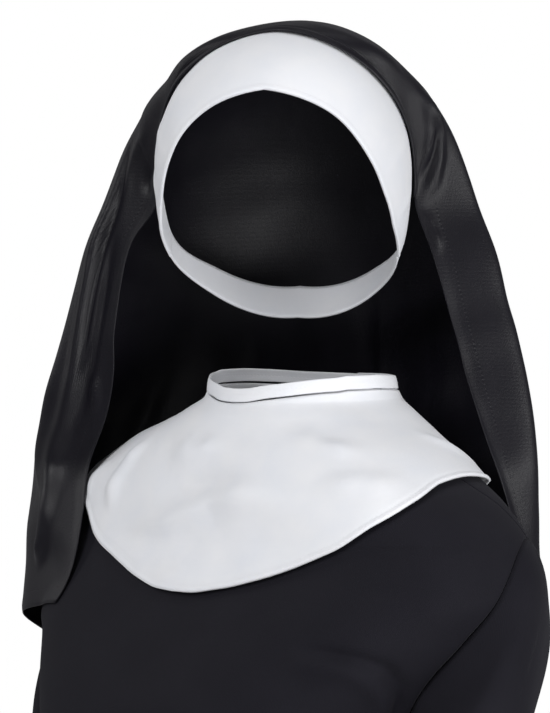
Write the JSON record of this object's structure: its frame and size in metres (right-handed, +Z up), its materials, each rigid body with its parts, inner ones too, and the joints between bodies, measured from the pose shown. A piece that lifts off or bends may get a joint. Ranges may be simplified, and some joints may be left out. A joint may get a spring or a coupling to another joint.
{
  "type": "nun habit",
  "caption": "Nun habit worn hollow: black veil on a white coif band, white bib collar with a neckband, long black tunic with set-in sleeves.",
  "frame": {"origin": "middle of the base of the neck, at the lower edge of the neckband's front, where the wearer holds the habit up", "axes": "+Z up, -Y the way the wearer's chest faces, +X the wearer's left"},
  "size_m": [0.5635, 0.4834, 1.5452],
  "materials": {
    "jersey": "matte black knitted jersey",
    "veiling": "smooth black veiling with a slight satin sheen",
    "white": "matte white woven cloth, two layers turned at the edges"
  },
  "bodies": {
    "root": {"tunic_front": "jersey", "tunic_back": "jersey", "sleeve_left": "jersey", "sleeve_right": "jersey", "bib_collar": "white", "neckband": "white", "coif_band": "white", "coif_strap": "white", "veil": "veiling"}
  },
  "joints": []
}
